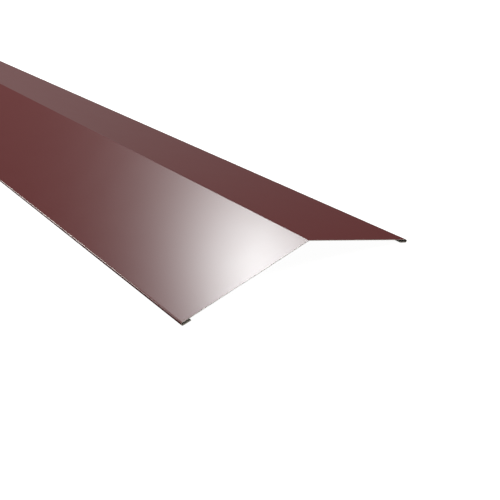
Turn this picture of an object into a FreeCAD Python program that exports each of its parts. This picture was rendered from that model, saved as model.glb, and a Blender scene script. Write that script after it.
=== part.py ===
"""Roof ridge cap folded from one strip of pre-painted steel.

Two flat wings fall away from one ridge bend, and each outer edge is turned under into an open hem,
which stiffens the edge and carries the cap on the roofing. All sizes are in millimetres and degrees.
X runs along the ridge, Y across the roof and Z up. The origin is the centre of the footprint, level
with the two hem folds that the cap stands on.
"""

import FreeCAD, Part
import math
import os

import Sketcher

PARTS_FOLDER = "parts"
NODE = "ridge_cap"

# Driving dimensions: alias, value, what it is.
DRIVING = [
    ("cap_length", 2000.0, "length along the ridge, as the stock is sold"),
    ("wing_width", 145.0, "ridge corner to hem fold, measured down the slope"),
    ("wing_slope", 15.0, "fall of each wing below the horizontal, in degrees"),
    ("sheet_thickness", 0.5, "steel strip with its coatings"),
    ("bend_radius", 1.0, "inside radius of the ridge bend"),
    ("hem_depth", 10.0, "hem fold to the free edge turned under"),
    ("hem_gap", 2.5, "clear gap inside the open hem"),
]

# Points of a sketch element, as Sketcher numbers them.
START, END, CENTRE = 1, 2, 3
# Sketcher's number for the vertical axis of a sketch, and its element and point for the origin.
VERTICAL_AXIS = -2
SKETCH_ORIGIN = (-1, 1)


def write_sizes(doc):
    """Puts the driving dimensions in a spreadsheet, one aliased cell each."""
    sheet = doc.addObject("Spreadsheet::Sheet", "Sizes")
    for row, (alias, value, meaning) in enumerate(DRIVING, start=1):
        sheet.set(f"A{row}", alias)
        sheet.set(f"B{row}", str(value))
        sheet.setAlias(f"B{row}", alias)
        sheet.set(f"C{row}", meaning)
    doc.recompute()
    return sheet


def origin_plane(body, role):
    """The body's own origin plane of that role, such as YZ_Plane."""
    return next(feature for feature in body.Origin.OriginFeatures if feature.Role == role)


def arc(centre, radius, start, end):
    """A circular arc in the sketch plane, counter-clockwise between two angles in radians."""
    return Part.ArcOfCircle(Part.Circle(centre, FreeCAD.Vector(0, 0, 1), radius), start, end)


def place_half_section(sketch, sizes):
    """Draws half of the folded strip in its place and returns each element's number by name.

    The outline runs from the ridge down the painted side, round the hem fold, back along the turned-under
    leg, and up the reverse side to the ridge again.
    """
    slope = math.radians(sizes.wing_slope)
    outward = FreeCAD.Vector(math.sin(slope), math.cos(slope), 0)
    downhill = FreeCAD.Vector(math.cos(slope), -math.sin(slope), 0)
    fold_inside = sizes.hem_gap / 2
    fold_outside = fold_inside + sizes.sheet_thickness
    ridge_inside = sizes.bend_radius
    ridge_outside = ridge_inside + sizes.sheet_thickness
    wing_flat = sizes.wing_width - fold_outside - ridge_outside * math.tan(slope)
    leg_flat = sizes.hem_depth - fold_outside

    # The fold stands on the floor, and the ridge bend is a wing's length up the slope from it.
    step_out = ridge_outside - fold_outside
    ridge_level = fold_outside - step_out * math.cos(slope) + wing_flat * math.sin(slope)
    ridge_centre = FreeCAD.Vector(0, ridge_level, 0)
    fold_centre = ridge_centre + outward * step_out + downhill * wing_flat

    uphill_end = fold_centre - downhill * leg_flat
    leg_outer_end = uphill_end - outward * fold_outside
    leg_inner_end = uphill_end - outward * fold_inside
    facing_out = math.pi / 2 - slope
    facing_in = facing_out - math.pi
    line = Part.LineSegment
    elements = [
        ("ridge_outer", arc(ridge_centre, ridge_outside, facing_out, math.pi / 2)),
        ("wing_outer", line(ridge_centre + outward * ridge_outside, fold_centre + outward * fold_outside)),
        ("fold_outer", arc(fold_centre, fold_outside, facing_in, facing_out)),
        ("leg_outer", line(fold_centre - outward * fold_outside, leg_outer_end)),
        ("leg_edge", line(leg_outer_end, leg_inner_end)),
        ("leg_inner", line(leg_inner_end, fold_centre - outward * fold_inside)),
        ("fold_inner", arc(fold_centre, fold_inside, facing_in, facing_out)),
        ("wing_inner", line(fold_centre + outward * fold_inside, ridge_centre + outward * ridge_inside)),
        ("ridge_inner", arc(ridge_centre, ridge_inside, facing_out, math.pi / 2)),
        ("ridge_middle", line(ridge_centre + FreeCAD.Vector(0, ridge_inside, 0),
                             ridge_centre + FreeCAD.Vector(0, ridge_outside, 0))),
    ]
    return {name: sketch.addGeometry(shape, False) for name, shape in elements}


def constrain_half_section(sketch, number):
    """Joins the outline's elements and binds its sizes to the spreadsheet."""

    def fix(kind, *where):
        """Adds one constraint and returns its number."""
        return sketch.addConstraint(Sketcher.Constraint(kind, *where))

    def size(name, expression, kind, *where):
        """Adds a dimension that follows the spreadsheet."""
        sketch.renameConstraint(fix(kind, *where), name)
        sketch.setExpression(f"Constraints.{name}", expression)

    # Every bend runs smoothly into the flats on both sides of it.
    for first, first_point, second, second_point in [
        ("ridge_outer", START, "wing_outer", START),
        ("wing_outer", END, "fold_outer", END),
        ("fold_outer", START, "leg_outer", START),
        ("leg_inner", END, "fold_inner", START),
        ("fold_inner", END, "wing_inner", START),
        ("wing_inner", END, "ridge_inner", START),
    ]:
        fix("Tangent", number[first], first_point, number[second], second_point)
    # The outline closes round the leg's free edge, and across the strip at the ridge. Both sides of the
    # strip bend about the same centres.
    for first, first_point, second, second_point in [
        ("leg_outer", END, "leg_edge", START),
        ("leg_edge", END, "leg_inner", START),
        ("ridge_inner", END, "ridge_middle", START),
        ("ridge_middle", END, "ridge_outer", END),
        ("ridge_outer", CENTRE, "ridge_inner", CENTRE),
        ("fold_outer", CENTRE, "fold_inner", CENTRE),
    ]:
        fix("Coincident", number[first], first_point, number[second], second_point)

    # The ridge lies on the middle plane.
    fix("PointOnObject", number["ridge_outer"], CENTRE, VERTICAL_AXIS)
    fix("PointOnObject", number["ridge_outer"], END, VERTICAL_AXIS)
    fix("PointOnObject", number["ridge_inner"], END, VERTICAL_AXIS)

    # The turned-under leg lies parallel to its wing and is cut square.
    fix("Parallel", number["leg_outer"], number["wing_outer"])
    fix("Parallel", number["leg_inner"], number["wing_outer"])
    fix("Perpendicular", number["leg_edge"], number["leg_outer"])

    # Each size is given the value that it is drawn with, and then follows the spreadsheet.
    drawn = {name: sketch.Geometry[index] for name, index in number.items()}
    ridge_outside = "(Sizes.bend_radius + Sizes.sheet_thickness)"
    fold_outside = "(Sizes.hem_gap / 2 + Sizes.sheet_thickness)"
    for name, expression in [
        ("ridge_inner", "Sizes.bend_radius"),
        ("ridge_outer", ridge_outside),
        ("fold_inner", "Sizes.hem_gap / 2"),
        ("fold_outer", fold_outside),
    ]:
        size(f"{name}_radius", expression, "Radius", number[name], drawn[name].Radius)
    size("fold_level", fold_outside,
         "DistanceY", *SKETCH_ORIGIN, number["fold_outer"], CENTRE, drawn["fold_outer"].Radius)
    wing_direction = drawn["wing_outer"].EndPoint - drawn["wing_outer"].StartPoint
    size("slope", "-Sizes.wing_slope * 1 deg",
         "Angle", number["wing_outer"], math.atan2(wing_direction.y, wing_direction.x))
    size("wing_flat", f"Sizes.wing_width - {fold_outside} - {ridge_outside} * tan(Sizes.wing_slope * 1 deg)",
         "Distance", number["wing_outer"], drawn["wing_outer"].length())
    size("leg_flat", f"Sizes.hem_depth - {fold_outside}",
         "Distance", number["leg_outer"], drawn["leg_outer"].length())


def fold_cap(doc, sizes):
    """The folded strip: half of its section, padded along the ridge and mirrored to the other slope."""
    body = doc.addObject("PartDesign::Body", "RidgeCap")
    body.Label = NODE
    sketch = body.newObject("Sketcher::SketchObject", "HalfSection")
    sketch.AttachmentSupport = [(origin_plane(body, "YZ_Plane"), "")]
    sketch.MapMode = "FlatFace"
    doc.recompute()
    constrain_half_section(sketch, place_half_section(sketch, sizes))
    doc.recompute()
    if not sketch.FullyConstrained:
        raise RuntimeError("the half section is not fully constrained")

    strip = body.newObject("PartDesign::Pad", "HalfStrip")
    strip.Profile = sketch
    strip.SideType = "Symmetric"
    strip.setExpression("Length", "Sizes.cap_length")
    doc.recompute()

    mirrored = body.newObject("PartDesign::Mirrored", "OtherWing")
    mirrored.Originals = [strip]
    mirrored.MirrorPlane = (origin_plane(body, "XZ_Plane"), [""])
    mirrored.Refine = True
    body.Tip = mirrored
    doc.recompute()
    return body


def check(doc, bodies):
    """Stops if an object failed to compute or a sub-part is not one valid solid."""
    for thing in doc.Objects:
        if "Invalid" in thing.State or "Error" in thing.State:
            raise RuntimeError(f"{thing.Name} failed: {thing.State}")
    for body in bodies:
        if body.Shape.isNull() or not body.Shape.isValid() or len(body.Shape.Solids) != 1:
            raise RuntimeError(f"{body.Label} is not one valid solid")


def main():
    """Builds the document and writes each sub-part as a STEP file."""
    doc = FreeCAD.newDocument("RidgeCapDocument")
    sizes = write_sizes(doc)
    bodies = [fold_cap(doc, sizes)]
    check(doc, bodies)
    os.makedirs(PARTS_FOLDER, exist_ok=True)
    for body in bodies:
        body.Shape.exportStep(os.path.join(PARTS_FOLDER, f"{body.Label}.step"))
        box = body.Shape.BoundBox
        print(f"{body.Label}: {box.XLength:.2f} x {box.YLength:.2f} x {box.ZLength:.2f} mm, "
              f"lowest {box.ZMin:.3f}, volume {body.Shape.Volume:.0f} mm3, faces {len(body.Shape.Faces)}")


main()
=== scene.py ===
"""Roof ridge cap folded from pre-painted steel: the sheet, its finishes, the studio and the camera.

The cap is one strip of sheet, painted on its upper side. A Geometry Nodes tree folds the flat blank as a
folding machine does: along the ridge bend, down the wing, round the hem and back along the free leg.
Lengths are in metres and angles in radians. X runs along the ridge, Y across the roof and Z up, as in the
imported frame.
"""

import logging
import math
from dataclasses import dataclass
from enum import Enum

import bpy
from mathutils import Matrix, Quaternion, Vector

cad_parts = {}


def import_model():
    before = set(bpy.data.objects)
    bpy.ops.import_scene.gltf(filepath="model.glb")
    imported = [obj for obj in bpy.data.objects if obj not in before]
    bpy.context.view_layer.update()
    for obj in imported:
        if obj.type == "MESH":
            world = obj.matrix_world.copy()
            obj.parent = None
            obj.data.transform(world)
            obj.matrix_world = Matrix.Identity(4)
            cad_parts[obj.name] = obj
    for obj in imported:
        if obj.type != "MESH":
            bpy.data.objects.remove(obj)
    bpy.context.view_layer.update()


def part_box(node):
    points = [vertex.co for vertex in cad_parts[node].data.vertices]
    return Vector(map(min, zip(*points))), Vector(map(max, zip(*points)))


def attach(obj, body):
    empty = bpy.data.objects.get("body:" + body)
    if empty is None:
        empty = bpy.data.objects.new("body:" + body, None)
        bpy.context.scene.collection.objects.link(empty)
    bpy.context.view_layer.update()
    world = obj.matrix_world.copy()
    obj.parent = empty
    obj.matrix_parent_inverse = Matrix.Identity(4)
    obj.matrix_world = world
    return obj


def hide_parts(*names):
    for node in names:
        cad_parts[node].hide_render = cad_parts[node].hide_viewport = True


LOG = logging.getLogger("ridge_cap")
NODE = "ridge_cap"
BODY = "root"
SHEET_THICKNESS = 0.0005

# The attribute that holds each point's place on the flat blank: along the strip, across it and through it.
BLANK_PLACE = "blank"

Colour = tuple[float, float, float]
Point = tuple[float, float, float]


class Side(Enum):
    """A side of the sheet, by the name that its finish has among the folding tree's inputs."""

    PAINTED = "Painted Side"
    REVERSE = "Reverse Side"
    CUT = "Cut Edge"


class Term:
    """A number in a node tree, to which arithmetic adds Math nodes."""

    def __init__(self, tree: "TreeBuilder", socket: bpy.types.NodeSocket) -> None:
        """Wraps an output socket of a node in that tree."""
        self.tree = tree
        self.socket = socket

    def __add__(self, other: "Term | float") -> "Term":
        """This number plus the other."""
        return self.tree.math("ADD", self, other)

    def __sub__(self, other: "Term | float") -> "Term":
        """This number less the other."""
        return self.tree.math("SUBTRACT", self, other)

    def __mul__(self, other: "Term | float") -> "Term":
        """This number times the other."""
        return self.tree.math("MULTIPLY", self, other)

    def __truediv__(self, other: "Term | float") -> "Term":
        """This number divided by the other."""
        return self.tree.math("DIVIDE", self, other)


class TreeBuilder:
    """Adds nodes to a node tree and links them, so that a tree reads as formulas."""

    def __init__(self, tree: bpy.types.NodeTree) -> None:
        """Starts on an empty geometry, material or world tree."""
        self.tree = tree

    def node(self, kind: str, inputs: dict[str | int, object] | None = None,
             **settings: object) -> bpy.types.Node:
        """Adds one node.

        Args:
            kind: the node's type name.
            inputs: what goes into its sockets, by socket name or number. Each is a plain value, a Term or
                an output socket.
            settings: the node's own properties.

        Returns:
            The new node.
        """
        made = self.tree.nodes.new(kind)
        for name, value in settings.items():
            setattr(made, name, value)
        for name, value in (inputs or {}).items():
            self.feed(made.inputs[name], value)
        return made

    def feed(self, target: bpy.types.NodeSocket, value: object) -> None:
        """Links an output to an input socket, or sets the input's own value.

        Args:
            target: the input socket.
            value: a Term, an output socket or a plain value.
        """
        if isinstance(value, Term):
            value = value.socket
        if isinstance(value, bpy.types.NodeSocket):
            self.tree.links.new(value, target)
        else:
            target.default_value = value

    def math(self, operation: str, *values: "Term | float", clamp: bool = False) -> Term:
        """The result of a Math node on the values in order, kept between 0 and 1 if clamp is set."""
        made = self.node("ShaderNodeMath", dict(enumerate(values)), operation=operation, use_clamp=clamp)
        return Term(self, made.outputs[0])

    def split(self, vector: bpy.types.NodeSocket) -> tuple[Term, Term, Term]:
        """The three components of a vector socket."""
        outputs = self.node("ShaderNodeSeparateXYZ", {"Vector": vector}).outputs
        return Term(self, outputs["X"]), Term(self, outputs["Y"]), Term(self, outputs["Z"])

    def join(self, x: "Term | float", y: "Term | float", z: "Term | float") -> bpy.types.NodeSocket:
        """A vector socket of three components."""
        return self.node("ShaderNodeCombineXYZ", {"X": x, "Y": y, "Z": z}).outputs[0]

    def noise(self, place: bpy.types.NodeSocket, size: float, detail: float) -> Term:
        """A soft random pattern from 0 to 1, of lumps of that size in metres and finer layers of them."""
        made = self.node("ShaderNodeTexNoise", {"Vector": place, "Scale": 1 / size, "Detail": detail})
        return Term(self, made.outputs[0])

    def seen_by_camera(self) -> Term:
        """Tells the camera's rays from all others.

        Returns:
            One for a ray from the camera, direct or through glass, and nought for any other.
        """
        rays = self.node("ShaderNodeLightPath").outputs
        direct, through_glass = Term(self, rays["Is Camera Ray"]), Term(self, rays["Is Transmission Ray"])
        return self.math("MAXIMUM", direct, through_glass)


@dataclass(frozen=True)
class Finish:
    """What every finish of the sheet has: a name, a colour and how rough it is."""

    name: str
    colour: Colour
    roughness: float

    def material(self) -> bpy.types.Material:
        """Builds the finish as a node material.

        Returns:
            The material.
        """
        material = bpy.data.materials.new(self.name)
        material.use_nodes = True
        material.node_tree.nodes.clear()
        tree = TreeBuilder(material.node_tree)
        shader = tree.node("ShaderNodeBsdfPrincipled")
        tree.node("ShaderNodeOutputMaterial", {"Surface": shader.outputs["BSDF"]})
        blank = tree.node("ShaderNodeAttribute", attribute_name=BLANK_PLACE).outputs["Vector"]
        self.dress(tree, shader, blank)
        return material

    def dress(self, tree: TreeBuilder, shader: bpy.types.Node, blank: bpy.types.NodeSocket) -> None:
        """Feeds the Principled shader's sockets from the place on the flat blank, each finish its own way."""
        raise NotImplementedError

    def varied_colour(self, tree: TreeBuilder, pattern: Term, spread: float) -> bpy.types.NodeSocket:
        """The finish's colour, made darker and lighter by a pattern.

        Args:
            tree: the material's tree.
            pattern: numbers from 0 to 1.
            spread: the share by which the pattern's ends leave the colour.

        Returns:
            The colour socket.
        """
        ramp = tree.node("ShaderNodeValToRGB", {0: pattern})
        for stop, step in zip(ramp.color_ramp.elements, (-spread, spread)):
            stop.color = tuple(channel * (1 + step) for channel in self.colour) + (1.0,)
        return ramp.outputs["Color"]

    def varied_roughness(self, pattern: Term, spread: float) -> Term:
        """The finish's roughness, less the spread where a pattern is 0 and plus the spread where it is 1."""
        return pattern * (2 * spread) + (self.roughness - spread)


@dataclass(frozen=True)
class TopCoat(Finish):
    """Polyester top coat: deep wine red with a satin gloss and a trace of orange peel."""

    name: str = "wine_red_top_coat"
    colour: Colour = (0.1123, 0.0091, 0.0086)
    roughness: float = 0.3435
    mottle_size: float = 0.035
    mottle_detail: float = 2.0
    mottle_share: float = 0.7
    grain_size: float = 0.0012
    grain_detail: float = 1.0
    colour_spread: float = 0.02
    roughness_spread: float = 0.012
    peel_size: float = 0.0016
    peel_detail: float = 3.0
    peel_height: float = 0.000012

    def dress(self, tree: TreeBuilder, shader: bpy.types.Node, blank: bpy.types.NodeSocket) -> None:
        """Feeds the shader's sockets.

        Args:
            tree: the material's tree.
            shader: its Principled shader.
            blank: the place on the flat blank, in metres.
        """
        mottle = tree.noise(blank, self.mottle_size, self.mottle_detail)
        grain = tree.noise(blank, self.grain_size, self.grain_detail)
        peel = tree.noise(blank, self.peel_size, self.peel_detail)
        pattern = mottle * self.mottle_share + grain * (1 - self.mottle_share)
        bump = tree.node("ShaderNodeBump", {"Height": peel, "Strength": 1.0, "Distance": self.peel_height})
        tree.feed(shader.inputs["Base Color"], self.varied_colour(tree, pattern, self.colour_spread))
        tree.feed(shader.inputs["Roughness"], self.varied_roughness(mottle, self.roughness_spread))
        tree.feed(shader.inputs["Normal"], bump.outputs["Normal"])


@dataclass(frozen=True)
class BackCoat(Finish):
    """Thin back coat on the reverse side: grey-beige, dull, with faint streaks along the coil."""

    name: str = "grey_back_coat"
    colour: Colour = (0.42, 0.39, 0.335)
    roughness: float = 0.5
    streak_width: float = 0.004
    streak_length: float = 0.25
    streak_detail: float = 2.0
    colour_spread: float = 0.06
    roughness_spread: float = 0.05

    def dress(self, tree: TreeBuilder, shader: bpy.types.Node, blank: bpy.types.NodeSocket) -> None:
        """Feeds the shader's sockets.

        Args:
            tree: the material's tree.
            shader: its Principled shader.
            blank: the place on the flat blank, in metres.
        """
        along, across, through = tree.split(blank)
        stretched = tree.join(along * (self.streak_width / self.streak_length), across, through)
        streaks = tree.noise(stretched, self.streak_width, self.streak_detail)
        tree.feed(shader.inputs["Base Color"], self.varied_colour(tree, streaks, self.colour_spread))
        tree.feed(shader.inputs["Roughness"], self.varied_roughness(streaks, self.roughness_spread))


@dataclass(frozen=True)
class CutEdge(Finish):
    """Sheared edge: a burnished band below the paint, and a rougher, darker band where the steel broke.

    The broken band's height and the depth of the tears at its border are shares of the sheet's thickness.
    """

    name: str = "sheared_steel_edge"
    colour: Colour = (0.7, 0.655, 0.575)
    roughness: float = 0.45
    broken_height: float = 0.6
    tear_size: float = 0.0001
    tear_detail: float = 3.0
    tear_depth: float = 0.3
    band_share: float = 0.6
    colour_spread: float = 0.15
    burnish: float = 0.2

    def dress(self, tree: TreeBuilder, shader: bpy.types.Node, blank: bpy.types.NodeSocket) -> None:
        """Feeds the shader's sockets.

        Args:
            tree: the material's tree.
            shader: its Principled shader.
            blank: the place on the flat blank, in metres.
        """
        _, _, through = tree.split(blank)
        tears = tree.noise(blank, self.tear_size, self.tear_detail)
        height = through / SHEET_THICKNESS + tears * self.tear_depth
        burnished = tree.math("GREATER_THAN", height, self.broken_height + self.tear_depth / 2)
        pattern = burnished * self.band_share + tears * (1 - self.band_share)
        tree.feed(shader.inputs["Base Color"], self.varied_colour(tree, pattern, self.colour_spread))
        tree.feed(shader.inputs["Roughness"], burnished * -self.burnish + self.roughness)


@dataclass
class FoldedSheet:
    """The cap's one piece of sheet, cut flat and folded.

    Its sizes are those of the steel part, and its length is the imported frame's. A shoulder is the narrow
    strip of a flat beside a bend, which keeps the bend's shading off the rest of the flat.
    """

    length: float
    finishes: dict[Side, bpy.types.Material]
    wing_width: float = 0.145
    wing_slope: float = math.radians(15)
    sheet_thickness: float = SHEET_THICKNESS
    bend_radius: float = 0.001
    hem_depth: float = 0.010
    hem_gap: float = 0.0025
    shoulder: float = 0.0003
    ridge_steps: int = 6
    fold_steps: int = 32
    length_steps: int = 20

    PIECE = "ridge_cap_sheet"
    WING_STEPS = 3
    LEG_STEPS = 2
    CORNER_ANGLE = math.radians(45)
    # The least upward or downward part of a normal on either face of the blank. On its edges it is nought.
    FACE_LIMIT = 0.5

    def build(self) -> bpy.types.Object:
        """Folds the sheet and bakes it to a plain mesh.

        Returns:
            The finished piece, at the origin, with its place in its mesh.
        """
        tree = self.folding_tree()
        carrier = bpy.data.objects.new("flat_blank", bpy.data.meshes.new("flat_blank"))
        bpy.context.scene.collection.objects.link(carrier)
        modifier = carrier.modifiers.new("fold", "NODES")
        modifier.node_group = tree
        for name, value in self.tree_inputs().items():
            modifier[tree.interface.items_tree[name].identifier] = value
        evaluated = carrier.evaluated_get(bpy.context.evaluated_depsgraph_get())
        mesh = bpy.data.meshes.new_from_object(evaluated)
        bpy.data.objects.remove(carrier)
        mesh.name = self.PIECE
        piece = bpy.data.objects.new(self.PIECE, mesh)
        bpy.context.scene.collection.objects.link(piece)
        return piece

    def tree_inputs(self) -> dict[str, float | int | bpy.types.Material]:
        """Lists the folding tree's inputs.

        Returns:
            The value of each input, by its name.
        """
        sizes = {
            "Length": self.length,
            "Wing Width": self.wing_width,
            "Wing Slope": self.wing_slope,
            "Sheet Thickness": self.sheet_thickness,
            "Bend Radius": self.bend_radius,
            "Hem Depth": self.hem_depth,
            "Hem Gap": self.hem_gap,
            "Shoulder": self.shoulder,
            "Ridge Steps": self.ridge_steps,
            "Fold Steps": self.fold_steps,
            "Length Steps": self.length_steps,
        }
        return sizes | {side.value: self.finishes[side] for side in Side}

    def folding_tree(self) -> bpy.types.NodeTree:
        """Builds the Geometry Nodes tree that cuts the blank and folds it.

        Returns:
            The tree, with a named input for each size and finish.
        """
        group = bpy.data.node_groups.new("fold_sheet", "GeometryNodeTree")
        for name, value in self.tree_inputs().items():
            kind = {float: "NodeSocketFloat", int: "NodeSocketInt"}.get(type(value), "NodeSocketMaterial")
            group.interface.new_socket(name, in_out="INPUT", socket_type=kind)
        group.interface.new_socket("Geometry", in_out="OUTPUT", socket_type="NodeSocketGeometry")
        tree = TreeBuilder(group)
        sockets = tree.node("NodeGroupInput").outputs
        size = {name: Term(tree, sockets[name]) for name in self.tree_inputs()}

        blank = self.cut_blank(tree, size)
        folded, facing = self.fold(tree, size, blank)
        tree.node("NodeGroupOutput", {"Geometry": self.dress(tree, size, folded, facing)})
        return group

    def cut_blank(self, tree: TreeBuilder, size: dict[str, Term]) -> bpy.types.NodeSocket:
        """Makes the flat blank as a box with one column of faces for each step of the fold.

        Args:
            tree: the folding tree.
            size: its inputs.

        Returns:
            The blank's geometry, one unit thick, one unit a column across, with its corners marked sharp.
        """
        columns = size["Ridge Steps"] + size["Fold Steps"] + (self.WING_STEPS + self.LEG_STEPS)
        box = tree.node("GeometryNodeMeshCube", {
            "Size": tree.join(size["Length"], columns * 2, 1.0),
            "Vertices X": size["Length Steps"] + 1,
            "Vertices Y": columns * 2 + 1,
            "Vertices Z": 2,
        })
        smooth = tree.node("GeometryNodeSetShadeSmooth", {
            "Geometry": box.outputs["Mesh"], "Shade Smooth": True})
        angle = Term(tree, tree.node("GeometryNodeInputMeshEdgeAngle").outputs["Unsigned Angle"])
        corner = tree.math("GREATER_THAN", angle, self.CORNER_ANGLE)
        sharp = tree.node("GeometryNodeSetShadeSmooth", {
            "Geometry": smooth.outputs["Geometry"], "Selection": corner,
            "Shade Smooth": False}, domain="EDGE")
        return sharp.outputs["Geometry"]

    def fold(self, tree: TreeBuilder, size: dict[str, Term],
             blank: bpy.types.NodeSocket) -> tuple[bpy.types.NodeSocket, bpy.types.NodeSocket]:
        """Folds the blank about the ridge and the two hems.

        Each point of the blank keeps its place along the strip. Its column says how far the bends before it
        have turned and how much of the flats it has passed.

        Args:
            tree: the folding tree.
            size: its inputs.
            blank: the flat blank.

        Returns:
            The folded geometry, and which way each of its faces looked on the flat blank.
        """
        facing = tree.node("GeometryNodeCaptureAttribute", {"Geometry": blank}, domain="FACE")
        facing.capture_items.new("VECTOR", "Facing")
        tree.feed(facing.inputs["Facing"], tree.node("GeometryNodeInputNormal").outputs["Normal"])

        # The blank is one unit thick about its middle.
        along, column, layer = tree.split(tree.node("GeometryNodeInputPosition").outputs["Position"])
        count = tree.math("ABSOLUTE", column)
        wing_side = tree.math("SIGN", column)
        depth = (layer + 0.5) * size["Sheet Thickness"]

        def passed(start: "Term | float", steps: "Term | float") -> Term:
            """How much of a run of columns lies before this point, from 0 to 1."""
            return tree.math("DIVIDE", count - start, steps, clamp=True)

        wing_start = size["Ridge Steps"]
        fold_start = wing_start + self.WING_STEPS
        leg_start = fold_start + size["Fold Steps"]
        hem_inside = size["Hem Gap"] / 2
        hem_outside = hem_inside + size["Sheet Thickness"]
        ridge_outside = size["Bend Radius"] + size["Sheet Thickness"]
        slope, shoulder = size["Wing Slope"], size["Shoulder"]
        wing_flat = size["Wing Width"] - hem_outside - ridge_outside * tree.math("TANGENT", slope)
        leg_flat = size["Hem Depth"] - hem_outside

        # The wing runs over one shoulder, its flat and the other shoulder, and the leg over one and its flat.
        ridge_turn = slope * passed(0.0, wing_start)
        wing_run = (shoulder * passed(wing_start, 1.0)
                    + (wing_flat - shoulder * 2) * passed(wing_start + 1, 1.0)
                    + shoulder * passed(wing_start + 2, 1.0))
        fold_turn = passed(fold_start, size["Fold Steps"]) * math.pi
        leg_run = shoulder * passed(leg_start, 1.0) + (leg_flat - shoulder) * passed(leg_start + 1, 1.0)

        def sine(angle: Term) -> Term:
            """The sine of an angle."""
            return tree.math("SINE", angle)

        def cosine(angle: Term) -> Term:
            """The cosine of an angle."""
            return tree.math("COSINE", angle)

        downhill = wing_run - leg_run
        ridge_radius, hem_radius = size["Bend Radius"] + depth, hem_inside + depth
        ridge_height = (hem_outside - (size["Bend Radius"] - hem_inside) * cosine(slope)
                        + wing_flat * sine(slope))
        across = (ridge_radius * sine(ridge_turn) + downhill * cosine(slope)
                  + hem_radius * (sine(slope + fold_turn) - sine(slope)))
        height = (ridge_height + ridge_radius * cosine(ridge_turn) - downhill * sine(slope)
                  + hem_radius * (cosine(slope + fold_turn) - cosine(slope)))

        # The place across the blank is measured along the middle of the sheet, which keeps its length.
        half_sheet = size["Sheet Thickness"] / 2
        developed = ((size["Bend Radius"] + half_sheet) * ridge_turn + wing_run
                     + (hem_inside + half_sheet) * fold_turn + leg_run)
        stored = tree.node("GeometryNodeStoreNamedAttribute", {
            "Geometry": facing.outputs["Geometry"], "Name": BLANK_PLACE,
            "Value": tree.join(along, developed * wing_side, depth),
        }, data_type="FLOAT_VECTOR", domain="POINT")
        moved = tree.node("GeometryNodeSetPosition", {
            "Geometry": stored.outputs["Geometry"], "Position": tree.join(along, across * wing_side, height)})
        return moved.outputs["Geometry"], facing.outputs["Facing"]

    def dress(self, tree: TreeBuilder, size: dict[str, Term], folded: bpy.types.NodeSocket,
              facing: bpy.types.NodeSocket) -> bpy.types.NodeSocket:
        """Gives each side of the sheet its finish.

        Args:
            tree: the folding tree.
            size: its inputs.
            folded: the folded geometry.
            facing: which way each of its faces looked on the flat blank.

        Returns:
            The dressed geometry.
        """
        _, _, up = tree.split(facing)
        faces = {
            Side.CUT: tree.math("LESS_THAN", tree.math("ABSOLUTE", up), self.FACE_LIMIT),
            Side.PAINTED: tree.math("GREATER_THAN", up, self.FACE_LIMIT),
            Side.REVERSE: tree.math("LESS_THAN", up, -self.FACE_LIMIT),
        }
        geometry = tree.node("GeometryNodeRealizeInstances", {"Geometry": folded}).outputs["Geometry"]
        for side, chosen in faces.items():
            geometry = tree.node("GeometryNodeSetMaterial", {
                "Geometry": geometry, "Selection": chosen, "Material": size[side.value]}).outputs["Geometry"]
        return geometry


@dataclass(frozen=True)
class Softbox:
    """A square soft lamp that faces a point of the cap."""

    name: str
    place: Point
    target: Point
    width: float
    radiance: float
    colour: Colour = (1.0, 1.0, 1.0)

    def build(self) -> None:
        """Hangs the lamp. A square lamp's power is its radiance times pi times its area."""
        lamp = bpy.data.lights.new(self.name, "AREA")
        lamp.shape = "SQUARE"
        lamp.size = self.width
        lamp.energy = self.radiance * math.pi * self.width ** 2
        lamp.color = self.colour
        made = bpy.data.objects.new(self.name, lamp)
        made.location = self.place
        made.rotation_mode = "QUATERNION"
        made.rotation_quaternion = (Vector(self.target) - Vector(self.place)).to_track_quat("-Z", "Y")
        bpy.context.scene.collection.objects.link(made)


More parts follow.
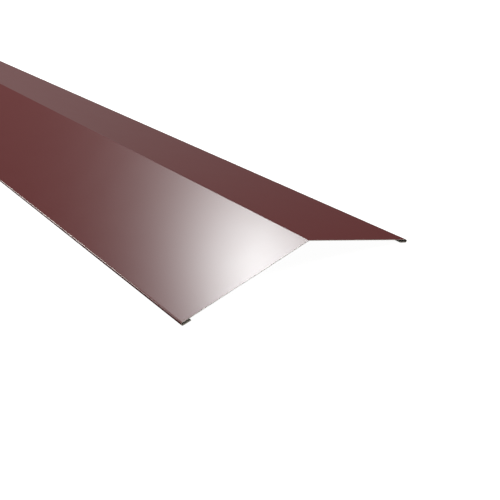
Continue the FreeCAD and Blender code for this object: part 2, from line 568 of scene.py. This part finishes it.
@dataclass(frozen=True)
class Studio:
    """A plain white studio: floor, dim surround and soft lamps."""

    lamps: tuple[Softbox, ...]
    floor_radius: float = 12.0
    floor_corners: int = 64
    floor_bounce: float = 0.1
    # The next two set a painted shade on the floor: how deep its white dims under the cap and how far that
    # dimming reaches.
    painted_shade_depth: float = 0.05
    painted_shade_reach: float = 1.6
    shadow_contrast: float = 0.35
    haze: float = 0.025
    horizon: float = 0.53
    horizon_fall: float = 4.0
    far_fall: float = 2.67

    def build(self) -> None:
        """Lays the floor, sets the world and hangs the lamps."""
        self.lay_floor()
        self.set_world()
        for lamp in self.lamps:
            lamp.build()
            LOG.info("lamp %s", lamp.name)

    def lay_floor(self) -> None:
        """Lays the floor that the cap stands on.

        The camera sees it white, dimmed by a round painted shade about the cap and less a trace of the cap's
        real shadow, and sees through it from below.
        Reflections pass through it to the surround, and all other rays meet an even dim glow.
        """
        mesh = bpy.data.meshes.new("floor")
        turns = [math.tau * corner / self.floor_corners for corner in range(self.floor_corners)]
        corners = [(self.floor_radius * math.cos(turn), self.floor_radius * math.sin(turn), 0.0)
                   for turn in turns]
        mesh.from_pydata(corners, [], [tuple(range(self.floor_corners))])
        floor = bpy.data.objects.new("floor", mesh)
        bpy.context.scene.collection.objects.link(floor)
        floor.visible_glossy = False

        material = bpy.data.materials.new("studio_floor")
        material.use_nodes = True
        material.node_tree.nodes.clear()
        tree = TreeBuilder(material.node_tree)
        camera = tree.seen_by_camera()
        below = Term(tree, tree.node("ShaderNodeNewGeometry").outputs["Backfacing"])
        place = tree.node("ShaderNodeTexCoord").outputs["Object"]
        away = Term(tree, tree.node("ShaderNodeVectorMath", {0: place}, operation="LENGTH").outputs["Value"])
        # Painted shade: the white that the camera sees is dimmed in a round pool about the cap, deepest under
        # it, so the diffuse part's real shadow can show there.
        near = tree.math("EXPONENT", away / self.painted_shade_reach * (away / -self.painted_shade_reach))
        bounce = tree.node("ShaderNodeEmission", {"Strength": self.floor_bounce})
        shading = tree.node("ShaderNodeBsdfDiffuse", {"Color": (self.shadow_contrast,) * 3 + (1.0,)})
        white = tree.node("ShaderNodeEmission", {"Strength": near * -self.painted_shade_depth + 1.0})
        above = tree.node("ShaderNodeAddShader", {0: white.outputs[0], 1: shading.outputs[0]})
        clear = tree.node("ShaderNodeBsdfTransparent")
        seen = tree.node("ShaderNodeMixShader", {0: below, 1: above.outputs[0], 2: clear.outputs[0]})
        surface = tree.node("ShaderNodeMixShader", {0: camera, 1: bounce.outputs[0], 2: seen.outputs[0]})
        tree.node("ShaderNodeOutputMaterial", {"Surface": surface.outputs[0]})
        mesh.materials.append(material)

    def set_world(self) -> None:
        """Sets a dim surround that is white to the camera.

        It glows a little at the horizon, most beyond the cap's far end, which lies towards -X.
        """
        world = bpy.data.worlds.new("studio_surround")
        world.use_nodes = True
        world.node_tree.nodes.clear()
        bpy.context.scene.world = world
        tree = TreeBuilder(world.node_tree)
        along, _, up = tree.split(tree.node("ShaderNodeTexCoord").outputs["Generated"])
        band = tree.math("EXPONENT", tree.math("ABSOLUTE", up) * -self.horizon_fall) * self.horizon
        glow = tree.math("EXPONENT", (along * -1.0 - 1.0) * self.far_fall) * (band + self.haze)
        camera = tree.seen_by_camera()
        strength = glow + (glow * -1.0 + 1.0) * camera
        background = tree.node("ShaderNodeBackground", {"Color": (1.0, 1.0, 1.0, 1.0), "Strength": strength})
        tree.node("ShaderNodeOutputWorld", {"Surface": background.outputs[0]})


@dataclass(frozen=True)
class PhotoCamera:
    """The photograph's camera, which stands by the near end of the cap and looks down along it."""

    place: Point
    heading: float
    fall: float
    roll: float
    lens_mm: float

    def build(self) -> None:
        """Sets the camera up and makes it the scene's."""
        camera = bpy.data.objects.new("photo_camera", bpy.data.cameras.new("photo_camera"))
        camera.data.lens = self.lens_mm
        camera.location = self.place
        level = math.cos(self.fall)
        look = Vector((-level * math.cos(self.heading), level * math.sin(self.heading), -math.sin(self.fall)))
        camera.rotation_mode = "QUATERNION"
        camera.rotation_quaternion = look.to_track_quat("-Z", "Y") @ Quaternion((0.0, 0.0, 1.0), self.roll)
        bpy.context.scene.collection.objects.link(camera)
        bpy.context.scene.camera = camera


def build_cap(length: float) -> None:
    """Folds and dresses the sheet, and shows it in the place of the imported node.

    Args:
        length: the cap's length along the ridge.
    """
    finishes = {
        Side.PAINTED: TopCoat().material(),
        Side.REVERSE: BackCoat().material(),
        Side.CUT: CutEdge().material(),
    }
    piece = FoldedSheet(length, finishes).build()
    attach(piece, BODY)
    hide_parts(NODE)
    LOG.info("%s: %d faces, %.4f m long", piece.name, len(piece.data.polygons), length)


def softboxes(low: Vector, high: Vector) -> tuple[Softbox, ...]:
    """Places the studio's lamps from the near end of the cap.

    The key hangs above the cap's far half and makes the highlight on the near wing. The three fills give
    the far wing and the cut end their level, and the side panel the near hem.

    Args:
        low: the lowest corner of the cap's box.
        high: its highest corner.

    Returns:
        The lamps.
    """
    ridge_end = (high.x, 0.0, high.z)
    near_hem = (high.x - 0.2, low.y, 0.0)
    return (
        Softbox("key_softbox", place=(high.x - 1.641, 0.497, high.z + 1.784), target=ridge_end,
                width=0.3, radiance=139.5, colour=(0.94, 1.0, 1.0)),
        Softbox("left_fill", place=(high.x + 0.9, -1.2, 1.75), target=ridge_end, width=0.9, radiance=3.6),
        Softbox("right_fill", place=(high.x + 0.6, 0.8, 1.0), target=ridge_end, width=0.6, radiance=7.55),
        Softbox("front_fill", place=(high.x + 3.0, 0.0, 0.37), target=ridge_end, width=0.7, radiance=6.5),
        Softbox("side_panel", place=(high.x - 2.734, -1.376, 1.026), target=near_hem,
                width=0.5, radiance=54.0, colour=(1.0, 0.95, 0.9)),
    )


def main() -> None:
    """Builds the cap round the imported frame, then its camera and studio."""
    logging.basicConfig(level=logging.INFO, format="%(name)s: %(message)s")
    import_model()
    bpy.context.scene.view_settings.view_transform = "Standard"

    low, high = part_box(NODE)
    build_cap(high.x - low.x)
    PhotoCamera(place=(high.x + 0.42484, -0.39516, high.z + 0.26691), heading=math.radians(37.573),
                fall=math.radians(25.643), roll=math.radians(0.51), lens_mm=50.0).build()
    Studio(softboxes(low, high)).build()


if __name__ == "__main__":
    main()
